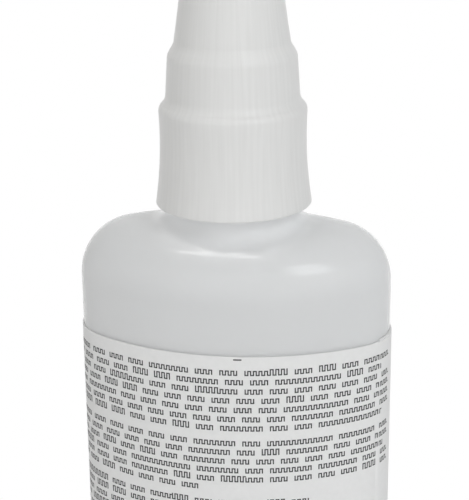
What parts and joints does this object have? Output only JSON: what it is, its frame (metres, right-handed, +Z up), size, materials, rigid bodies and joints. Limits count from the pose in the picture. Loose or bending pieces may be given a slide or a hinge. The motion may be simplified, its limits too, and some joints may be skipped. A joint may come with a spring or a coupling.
{
  "type": "super glue bottle",
  "caption": "Flat-oval translucent squeeze bottle for quick-setting glue, with a wrap-round label, waisted screw collar, hidden spout and tall two-tier pull-off cap.",
  "frame": {"origin": "middle of the base, on the surface that the bottle stands on", "axes": "+Z up along the neck, X along the oval's width, -Y towards the printed front"},
  "size_m": [0.0455, 0.0264, 0.12],
  "materials": {
    "bottle": "natural translucent polyethylene, satin",
    "label": "coated white label paper, print as plain rows",
    "adhesive": "clear liquid",
    "nozzle": "natural polyethylene, satin",
    "closure": "white moulded plastic, fine satin",
    "pin": "drawn wire"
  },
  "bodies": {
    "bottle": {"bottle": "bottle", "label": "label", "adhesive": "adhesive"},
    "nozzle": {"nozzle": "nozzle"},
    "screw_collar": {"screw_collar": "closure"},
    "cap": {"cap": "closure", "cap_pin": "pin"}
  },
  "joints": [
    {"name": "nozzle_lift", "type": "slide", "parent": "bottle", "child": "nozzle", "axis": [0, 0, 1], "range_m": [0, 0.006]},
    {"name": "collar_turn", "type": "hinge", "parent": "nozzle", "child": "screw_collar", "pos_m": [0, 0, 0.0712], "axis": [0, 0, 1], "range_deg": [0, 720]},
    {"name": "cap_pull", "type": "slide", "parent": "nozzle", "child": "cap", "axis": [0, 0, 1], "range_m": [0, 0.04]}
  ],
  "couplings": [
    {"joint": "nozzle_lift", "follows": "collar_turn", "m_per_rad": 0.00047746}
  ]
}
